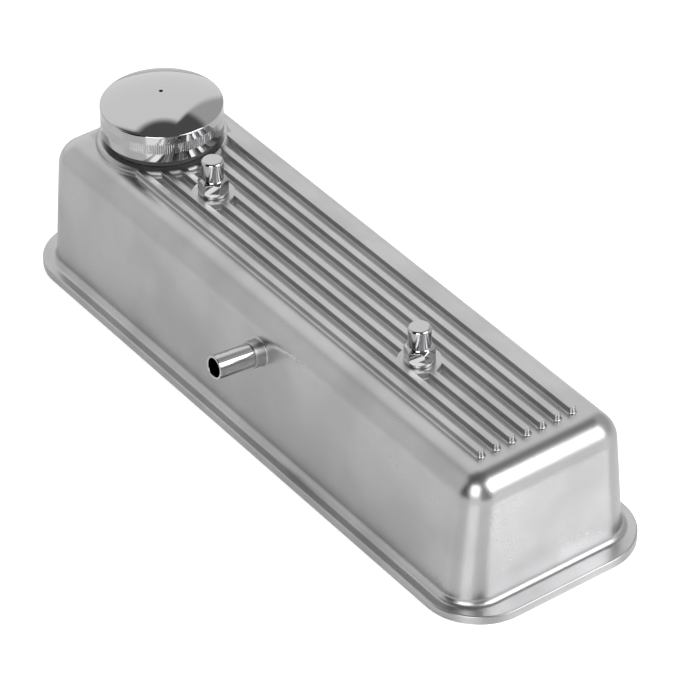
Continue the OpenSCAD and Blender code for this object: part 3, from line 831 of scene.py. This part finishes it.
class COVER_OT_casting(bpy.types.Operator):
    """Build the cast cover with its fillets, and give it its polished and cast skins"""

    bl_idname = "cover.casting"
    bl_label = "Cast cover"

    def execute(self, context):
        s = casting_sizes()
        outer = combined(closed_mesh(block_grid(s, 0, 0)), self.outside(s), "UNION")
        outer.materials.clear()
        outer.materials.append(finish(polished_alloy))
        hollow = combined(outer, [closed_mesh(block_grid(s, s.wall, -PAST))], "DIFFERENCE", finish(cast_skin))
        filled = combined(hollow, self.inside(s), "UNION", finish(cast_skin))
        bored = combined(filled, self.bores(s), "DIFFERENCE", finish(polished_alloy))
        add_piece("Cast_cover", bored, None, "cover", "cover_casting")
        return {"FINISHED"}

    def outside(self, s):
        """What stands on the outside of the block."""
        section = raised_section(s.pad_radius, s.fin_height, s.fin_root, s.fin_edge)
        pad = turned(section, steps=96)
        boss_low = s.height - s.boss_depth
        side = raised_section(s.boss_radius, s.raised_z - boss_low, HIDDEN_ROOT, s.boss_edge, steps=12)
        boss = turned(side, steps=160)
        outlet_side = raised_section(s.outlet_radius, s.outlet_height, s.outlet_root, s.outlet_edge)
        outlet = turned(outlet_side, steps=64)
        rows = np.arange(s.fin_count) - (s.fin_count - 1) / 2
        forms = [fin_grid(s, row * s.fin_pitch) for row in rows]
        forms += [shifted(pad, stud.x, stud.y, s.height) for stud in s.studs]
        forms += [flange_grid(s), shifted(boss, s.filler_x, 0, boss_low), on_breather(s, outlet)]
        rings = [foot_fillet_grid(s), boss_foot_grid(s)]
        return [closed_mesh(form) for form in forms] + [closed_mesh(ring, True) for ring in rings]

    def inside(self, s):
        """What stands on the inside of the walls: the filler's collar, the stud pillars and the baffle's
        posts."""
        collar_radius = s.bore_radius + s.collar_wall
        collar_low = s.raised_z - s.collar_depth
        pillar_low = s.height - s.pillar_drop
        top = s.inner_top + PAST
        post = cylinder(s.post_radius, -s.wall - s.post_height, -s.wall + PAST)
        pillar = cylinder(s.pad_radius - s.pillar_taper, pillar_low, top, top_radius=s.pad_radius)
        forms = [shifted(cylinder(collar_radius, collar_low, top, steps=128), s.filler_x, 0)]
        forms += [shifted(pillar, stud.x, stud.y) for stud in s.studs]
        forms += [on_breather(s, post, side * self.screw_place()) for side in (-1, 1)]
        return [closed_mesh(form) for form in forms]

    def bores(self, s):
        """The filler bore with its two gates, the bush holes, the breather's bore and the screw holes."""
        tube = bpy.context.scene.cover_breather_sizes
        low, high = s.raised_z - s.collar_depth - PAST, s.raised_z + PAST
        gate_x = s.bore_radius + s.lug_grip + s.gate_end
        gate_y = s.lug_width / 2 + s.gate_side
        corners = np.array([[1, 1], [-1, 1], [-1, -1], [1, -1]]) * [gate_x, gate_y]
        gate = np.stack([np.column_stack((corners, np.full(len(corners), z))) for z in (low, high)])
        bore = cylinder(s.bore_radius, low, high, steps=128)
        bush = cylinder(s.bush_radius, s.height - s.pillar_drop - PAST, high, steps=96)
        shank = cylinder(tube.radius - tube.step + FIT, -s.wall - PAST, s.outlet_height + PAST, steps=96)
        face = -s.wall - s.post_height
        screw = cylinder(s.screw_radius + FIT, face - PAST, face + s.screw_grip + PAST, steps=32)
        forms = [shifted(bore, s.filler_x, 0), shifted(gate, s.filler_x, 0)]
        forms += [shifted(bush, stud.x, stud.y) for stud in s.studs]
        forms += [on_breather(s, shank)]
        forms += [on_breather(s, screw, side * self.screw_place()) for side in (-1, 1)]
        return [closed_mesh(form) for form in forms]

    def screw_place(self):
        """Distance of the baffle's screws from the breather's axis, from their box."""
        low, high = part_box("baffle_screws")
        return (high.x - low.x) / 2 - bpy.context.scene.cover_casting_sizes.screw_head


class COVER_OT_filler_cap(bpy.types.Operator):
    """Build the filler cap's knurled shell and its rubber seal, and finish the pieces inside it"""

    bl_idname = "cover.filler_cap"
    bl_label = "Filler cap"

    def execute(self, context):
        sizes = context.scene.cover_cap_sizes
        low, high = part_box("filler_cap_shell")
        middle = (low + high) / 2
        shell = shifted(self.shell_grid(sizes, middle.x - low.x, low.z, high.z), middle.x, middle.y)
        add_piece("Cap_shell", closed_mesh(shell, True), finish(chrome_plate),
                  "filler_cap", "filler_cap_shell", sharp=50)
        self.add_seal(sizes)
        for piece in ("pan", "filter_plate", "locking_plate", "rivet"):
            dress(f"filler_cap_{piece}", zinc_plate)
        dress("filler_cap_gauze", knitted_wire)
        return {"FINISHED"}

    def shell_grid(self, sizes, radius, low, apex):
        """The shell: its closed section turned round, with the knurl's grooves cut into the side. A
        groove's depth is the knurl's depth times a wave round the cap, and fades out at the band's upper
        and lower end."""
        edge_z = low + sizes.side_height
        outer = self.dome(radius, edge_z, apex, sizes.edge_radius)
        sheet = sizes.sheet
        inner = self.dome(radius - sheet, edge_z, apex - sheet, sizes.inner_edge, apex - edge_z)
        lip = radius - sheet - sizes.lip_width
        lip_top = low + sizes.lip_thickness
        bend, fade = sizes.lip_bend, sizes.knurl_fade
        band_top = edge_z - sizes.knurl_top
        band_low = band_top - sizes.knurl_height
        side = np.array([band_top, band_top - fade, band_low + fade, band_low, low + bend])
        profile = np.vstack((
            [[sizes.vent_radius, outer[0, 1]]], outer,
            np.column_stack((np.full(len(side), radius), side)),
            arc((radius - bend, low + bend), bend, 0, -90, steps=5)[1:],
            [[lip, low], [lip, lip_top], [radius - sheet, lip_top]],
            inner[::-1], [[sizes.vent_radius, inner[0, 1]]],
        ))
        columns = sizes.knurl_count * sizes.knurl_samples
        turn = np.linspace(0, 2 * math.pi, columns, endpoint=False)
        wave = np.abs(((turn * sizes.knurl_count / math.pi) % 2) - 1)
        height = profile[:, 1]
        band = np.clip(np.minimum(band_top - height, height - band_low) / fade, 0, 1)
        band = band * (profile[:, 0] > radius - sheet / 2)
        reach = profile[:, :1] - sizes.knurl_depth * band[:, None] * wave
        return np.stack((reach * np.cos(turn), reach * np.sin(turn), height[:, None] + 0 * turn), axis=-1)

    def dome(self, radius, edge_z, apex, edge, rise=None):
        """Half a dome's section from near its apex down to the side: a wide arc and a small one that
        touch."""
        rise = rise or apex - edge_z
        dome_radius = (radius ** 2 + rise ** 2) / (2 * rise)
        centre_z = apex - dome_radius
        edge_x = radius - edge
        small_z = centre_z + math.sqrt((dome_radius - edge) ** 2 - edge_x ** 2)
        meet = math.degrees(math.atan2(small_z - centre_z, edge_x))
        start = math.degrees(math.acos(bpy.context.scene.cover_cap_sizes.vent_radius / dome_radius))
        wide = arc((0, centre_z), dome_radius, start, meet, steps=24)
        small = arc((edge_x, small_z), edge, meet, 0, steps=8)
        return np.vstack((wide, small[1:]))

    def add_seal(self, sizes):
        """The seal: a flat ring with rounded edges."""
        low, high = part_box("filler_cap_seal")
        middle = (low + high) / 2
        outer = middle.x - low.x
        inner = casting_sizes().bore_radius + sizes.seal_room
        edge = sizes.seal_edge
        profile = np.vstack((
            arc((outer - edge, high.z - edge), edge, 90, 0, steps=6),
            arc((outer - edge, low.z + edge), edge, 0, -90, steps=6),
            arc((inner + edge, low.z + edge), edge, 270, 180, steps=6),
            arc((inner + edge, high.z - edge), edge, 180, 90, steps=6),
        ))
        ring = closed_mesh(shifted(turned(profile, steps=160), middle.x, middle.y), True)
        add_piece("Cap_seal", ring, finish(black_rubber), "filler_cap", "filler_cap_seal")


class COVER_OT_nuts(bpy.types.Operator):
    """Build the two cover nuts and their washers"""

    bl_idname = "cover.nuts"
    bl_label = "Cover nuts"

    def execute(self, context):
        sizes = context.scene.cover_nut_sizes
        for side, turn in (("front", sizes.front_turn), ("rear", sizes.rear_turn)):
            low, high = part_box(f"{side}_cover_nut")
            middle = (low + high) / 2
            grid = shifted(self.nut_grid(sizes, turn, high.z - low.z), middle.x, middle.y, low.z)
            add_piece(f"{side.title()}_nut", closed_mesh(grid), finish(chrome_plate),
                      f"{side}_nut", f"{side}_cover_nut", sharp=25)
            self.add_washer(sizes, side)
        return {"FINISHED"}

    def nut_grid(self, sizes, turn, height, rows=110, columns=240, hole_rows=60):
        """A nut: at each height the radius is the softer of a turned profile's and of a hexagon's, and the
        hole's radius follows a groove that climbs one pitch in a turn."""
        corner = sizes.flats / 2 / math.cos(math.radians(30))
        cone_z = sizes.side_height + (corner - sizes.neck_radius) * math.tan(sizes.cone_slope)
        neck, shoulder, blend = sizes.neck_radius, sizes.shoulder, sizes.neck_blend
        outline = np.vstack((
            [[0, 0], [corner - sizes.foot_width, 0], [corner, sizes.foot_height], [corner, sizes.side_height],
             [neck + blend, cone_z - sizes.neck_blend_drop], [neck, cone_z + blend]],
            arc((neck - shoulder, height - shoulder), shoulder, 0, 90, steps=10), [[0, height]]))
        span = np.linalg.norm(np.diff(outline, axis=0), axis=1)
        along = np.concatenate(([0], np.cumsum(span)))
        wanted = np.unique(np.concatenate((np.linspace(0, along[-1], rows), along)))
        radius = np.interp(wanted, along, outline[:, 0])
        level = np.interp(wanted, along, outline[:, 1])
        around_nut = np.linspace(0, 2 * math.pi, columns, endpoint=False)
        sector = (around_nut + math.pi / 6) % (math.pi / 3) - math.pi / 6
        hexagon = sizes.flats / 2 / np.cos(math.pi / 6 - np.abs(sector))
        gap = radius[:, None] - hexagon
        reach = (radius[:, None] + hexagon - np.sqrt(gap ** 2 + sizes.softness ** 2)) / 2
        well_inside = 1 * MM
        reach = np.where(radius[:, None] < neck - well_inside, radius[:, None], reach)
        reach = np.where(radius[:, None] < MERGE, 0, reach)
        hole_z = np.linspace(0, sizes.thread_depth, hole_rows)[:, None]
        thread = np.abs((hole_z / sizes.thread_pitch - around_nut / (2 * math.pi)) % 1 * 2 - 1)
        fade = np.clip((sizes.thread_depth - hole_z) / sizes.thread_pitch, 0, 1)
        hole = sizes.thread_radius + sizes.thread_cut * thread * fade
        outside = level[:, None] + 0 * around_nut
        keep = (level > 0) | (radius > sizes.thread_radius + well_inside)
        reach, outside = reach[keep][::-1], outside[keep][::-1]
        bottom = np.full((1, columns), sizes.thread_depth + sizes.drill_point)
        reach = np.vstack((reach, hole, np.zeros((1, columns))))
        outside = np.vstack((outside, hole_z + 0 * around_nut, bottom))
        angle_now = around_nut + turn
        return np.stack((reach * np.cos(angle_now), reach * np.sin(angle_now), outside), axis=-1)

    def add_washer(self, sizes, side):
        """A flat washer with rounded edges."""
        low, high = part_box(f"{side}_nut_washer")
        middle = (low + high) / 2
        outer, inner, edge = middle.x - low.x, sizes.washer_hole, sizes.washer_edge
        profile = np.vstack((
            arc((outer - edge, high.z - edge), edge, 90, 0, steps=5),
            arc((outer - edge, low.z + edge), edge, 0, -90, steps=5),
            [[inner, low.z], [inner, high.z]],
        ))
        ring = closed_mesh(shifted(turned(profile, steps=96), middle.x, middle.y), True)
        add_piece(f"{side.title()}_washer", ring, finish(zinc_plate),
                  f"{side}_nut", f"{side}_nut_washer")


class COVER_OT_breather(bpy.types.Operator):
    """Build the chromed breather tube"""

    bl_idname = "cover.breather"
    bl_label = "Breather tube"

    def execute(self, context):
        s = casting_sizes()
        sizes = context.scene.cover_breather_sizes
        outer, bore, shank = sizes.radius, sizes.radius - sizes.wall, sizes.radius - sizes.step
        edge, turn_in = sizes.edge, sizes.shoulder_edge
        shoulder, end = s.outlet_height, sizes.reach
        profile = np.vstack((
            [[bore, -s.wall], [shank, -s.wall], [shank, shoulder]],
            arc((outer - turn_in, shoulder + turn_in), turn_in, -90, 0, steps=5),
            arc((outer - edge, end - edge), edge, 0, 90, steps=8),
            arc((bore + edge, end - edge), edge, 90, 180, steps=8),
        ))
        tube = closed_mesh(on_breather(s, turned(profile, steps=128)), True)
        add_piece("Breather", tube, finish(chrome_plate), "cover", "breather_tube")
        return {"FINISHED"}


class COVER_OT_inner_parts(bpy.types.Operator):
    """Finish the stud bushes and sleeves, and the baffle with its screws and gauze"""

    bl_idname = "cover.inner_parts"
    bl_label = "Inner parts"

    def execute(self, context):
        for side in ("front", "rear"):
            dress(f"{side}_stud_bush", black_rubber)
            dress(f"{side}_stud_sleeve", zinc_plate)
        for node in ("baffle_plate", "baffle_screws", "baffle_lock_washers"):
            dress(node, zinc_plate)
        dress("breather_gauze", knitted_wire)
        return {"FINISHED"}


def dress(node, maker):
    """Gives a piece of the frame a finish."""
    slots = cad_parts[node].data.materials
    slots.clear()
    slots.append(finish(maker))


class COVER_PT_panel(bpy.types.Panel):
    """Lists the operators in the order in which the cover is built"""

    bl_idname = "COVER_PT_panel"
    bl_label = "Valve cover"
    bl_space_type = "VIEW_3D"
    bl_region_type = "UI"
    bl_category = "Valve cover"

    def draw(self, context):
        for operator in OPERATORS:
            self.layout.operator(operator.bl_idname)


OPERATORS = (COVER_OT_stage, COVER_OT_casting, COVER_OT_filler_cap, COVER_OT_nuts, COVER_OT_breather,
             COVER_OT_inner_parts)
GROUPS = {
    "cover_casting_sizes": CastingSizes, "cover_cap_sizes": CapSizes, "cover_nut_sizes": NutSizes,
    "cover_breather_sizes": BreatherSizes, "cover_finishes": Finishes, "cover_stage": StageSettings,
}


def register():
    """Registers the classes, and hangs the settings on the scene."""
    for item in (*GROUPS.values(), *OPERATORS, COVER_PT_panel):
        bpy.utils.register_class(item)
    for name, group in GROUPS.items():
        setattr(bpy.types.Scene, name, PointerProperty(type=group))


def unregister():
    """Takes back what register did."""
    for name in GROUPS:
        delattr(bpy.types.Scene, name)
    for item in (COVER_PT_panel, *reversed(OPERATORS), *reversed(GROUPS.values())):
        bpy.utils.unregister_class(item)


def main():
    """Builds the whole scene."""
    register()
    bpy.ops.cover.stage()
    bpy.ops.cover.casting()
    bpy.ops.cover.filler_cap()
    bpy.ops.cover.nuts()
    bpy.ops.cover.breather()
    bpy.ops.cover.inner_parts()


if __name__ == "__main__":
    main()
